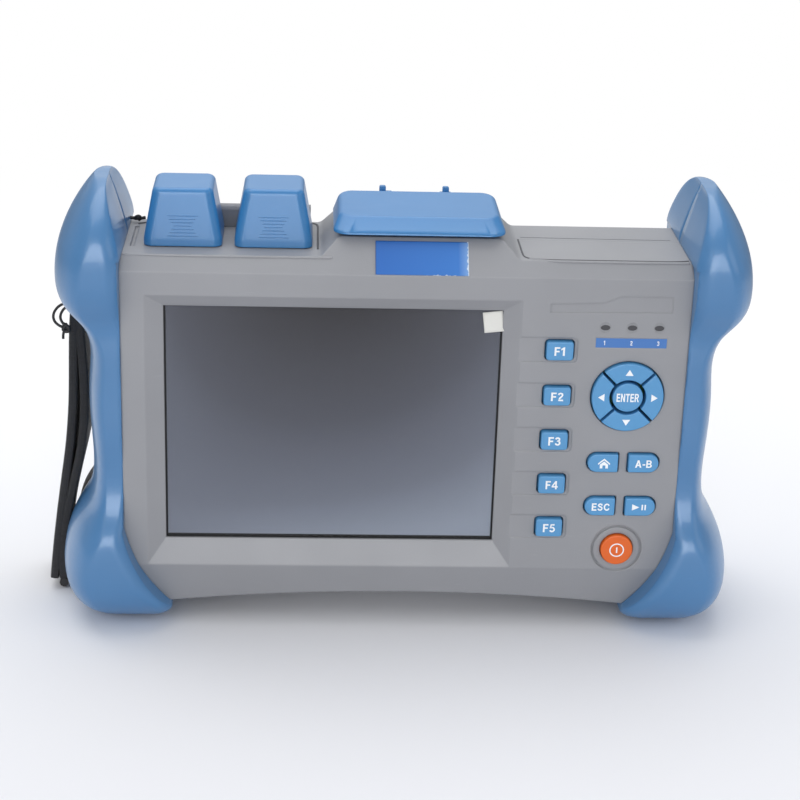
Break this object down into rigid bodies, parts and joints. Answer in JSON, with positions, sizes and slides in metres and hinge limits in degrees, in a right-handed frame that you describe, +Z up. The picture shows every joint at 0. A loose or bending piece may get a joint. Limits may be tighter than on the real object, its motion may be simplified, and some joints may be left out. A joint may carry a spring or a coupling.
{
  "type": "optical time domain reflectometer",
  "caption": "Handheld fibre tester: moulded case with rubber side bumpers, recessed touch screen, keypad, hinged port covers, fold-out stand and hand strap.",
  "frame": {"origin": "on the table, under the middle of the bounding box", "axes": "+X to the user's right along the width, +Y away from the user through the depth, +Z up; the screen faces -Y"},
  "size_m": [0.2608, 0.0738, 0.167],
  "materials": {
    "battery": "dark shrink film",
    "board": "green circuit board",
    "bumper": "blue moulded rubber, matt",
    "cap": "blue rubber, satin",
    "case": "light grey moulded plastic, satin",
    "dark_plastic": "black plastic",
    "film": "thin clear film",
    "gasket": "foam rubber",
    "key": "blue silicone rubber",
    "lens": "dark translucent plastic",
    "module_metal": "plain sheet metal",
    "pin": "plain steel",
    "plate": "blue printed label",
    "port_metal": "nickel-plated",
    "power_key": "orange plastic",
    "spool": "white plastic",
    "tab": "off-white paper tab",
    "webbing": "black woven webbing and cord",
    "window": "clear touch window"
  },
  "bodies": {
    "case": {"front_shell": "case", "rear_shell": "case", "battery_cover": "case", "touch_window": "window", "display_gasket": "gasket", "display_module": "module_metal", "display_bracket": "module_metal", "screen_film": "film", "film_tab": "tab", "indicator_strip": "lens", "indicator_lamps": "lens", "name_plate": "plate", "keypad_board": "board", "main_board": "board", "optical_module": "module_metal", "fibre_spool": "spool", "battery_pack": "battery", "otdr_port": "port_metal", "vfl_port": "port_metal", "ethernet_jack": "port_metal", "usb_host_port": "port_metal", "usb_device_port": "port_metal", "dc_jack": "dark_plastic", "port_panel": "dark_plastic", "cap_hinge_block": "case", "cap_hinge_pin": "pin", "cover_hinge_pin": "pin", "stand_pins": "pin", "battery_cover_screws": "pin", "case_screws": "pin", "bumper_right_front": "bumper", "bumper_left_front": "bumper", "bumper_right_rear": "bumper", "bumper_left_rear": "bumper", "strap": "webbing", "strap_loop": "webbing"},
    "key_f1": {"key_f1": "key"},
    "key_f2": {"key_f2": "key"},
    "key_f3": {"key_f3": "key"},
    "key_f4": {"key_f4": "key"},
    "key_f5": {"key_f5": "key"},
    "key_home": {"key_home": "key"},
    "key_ab": {"key_ab": "key"},
    "key_escape": {"key_escape": "key"},
    "key_run": {"key_run": "key"},
    "key_up": {"key_up": "key"},
    "key_right": {"key_right": "key"},
    "key_down": {"key_down": "key"},
    "key_left": {"key_left": "key"},
    "key_enter": {"key_enter": "key"},
    "power_button": {"power_button": "power_key"},
    "otdr_cap": {"otdr_cap": "cap"},
    "vfl_cap": {"vfl_cap": "cap"},
    "port_cover": {"port_cover": "cap"},
    "stand": {"stand": "case"}
  },
  "joints": [
    {"name": "key_f1_press", "type": "slide", "parent": "case", "child": "key_f1", "axis": [0, 1, 0], "range_m": [0, 0.0012], "stiffness_N_per_m": 400},
    {"name": "key_f2_press", "type": "slide", "parent": "case", "child": "key_f2", "axis": [0, 1, 0], "range_m": [0, 0.0012], "stiffness_N_per_m": 400},
    {"name": "key_f3_press", "type": "slide", "parent": "case", "child": "key_f3", "axis": [0, 1, 0], "range_m": [0, 0.0012], "stiffness_N_per_m": 400},
    {"name": "key_f4_press", "type": "slide", "parent": "case", "child": "key_f4", "axis": [0, 1, 0], "range_m": [0, 0.0012], "stiffness_N_per_m": 400},
    {"name": "key_f5_press", "type": "slide", "parent": "case", "child": "key_f5", "axis": [0, 1, 0], "range_m": [0, 0.0012], "stiffness_N_per_m": 400},
    {"name": "key_home_press", "type": "slide", "parent": "case", "child": "key_home", "axis": [0, 1, 0], "range_m": [0, 0.0012], "stiffness_N_per_m": 400},
    {"name": "key_ab_press", "type": "slide", "parent": "case", "child": "key_ab", "axis": [0, 1, 0], "range_m": [0, 0.0012], "stiffness_N_per_m": 400},
    {"name": "key_escape_press", "type": "slide", "parent": "case", "child": "key_escape", "axis": [0, 1, 0], "range_m": [0, 0.0012], "stiffness_N_per_m": 400},
    {"name": "key_run_press", "type": "slide", "parent": "case", "child": "key_run", "axis": [0, 1, 0], "range_m": [0, 0.0012], "stiffness_N_per_m": 400},
    {"name": "key_up_press", "type": "slide", "parent": "case", "child": "key_up", "axis": [0, 1, 0], "range_m": [0, 0.0012], "stiffness_N_per_m": 400},
    {"name": "key_right_press", "type": "slide", "parent": "case", "child": "key_right", "axis": [0, 1, 0], "range_m": [0, 0.0012], "stiffness_N_per_m": 400},
    {"name": "key_down_press", "type": "slide", "parent": "case", "child": "key_down", "axis": [0, 1, 0], "range_m": [0, 0.0012], "stiffness_N_per_m": 400},
    {"name": "key_left_press", "type": "slide", "parent": "case", "child": "key_left", "axis": [0, 1, 0], "range_m": [0, 0.0012], "stiffness_N_per_m": 400},
    {"name": "key_enter_press", "type": "slide", "parent": "case", "child": "key_enter", "axis": [0, 1, 0], "range_m": [0, 0.0012], "stiffness_N_per_m": 400},
    {"name": "power_button_press", "type": "slide", "parent": "case", "child": "power_button", "axis": [0, 1, 0], "range_m": [0, 0.0012], "stiffness_N_per_m": 400},
    {"name": "otdr_cap_hinge", "type": "hinge", "parent": "case", "child": "otdr_cap", "pos_m": [-0.07665, 0.0155, 0.1494], "axis": [-1, 0, 0], "range_deg": [0, 100]},
    {"name": "vfl_cap_hinge", "type": "hinge", "parent": "case", "child": "vfl_cap", "pos_m": [-0.04435, 0.0155, 0.1494], "axis": [-1, 0, 0], "range_deg": [0, 100]},
    {"name": "port_cover_hinge", "type": "hinge", "parent": "case", "child": "port_cover", "pos_m": [0.0078, 0.021, 0.153], "axis": [-1, 0, 0], "range_deg": [0, 110]},
    {"name": "stand_hinge", "type": "hinge", "parent": "case", "child": "stand", "pos_m": [0.00355, 0.021, 0.112], "axis": [1, 0, 0], "range_deg": [0, 70]}
  ]
}
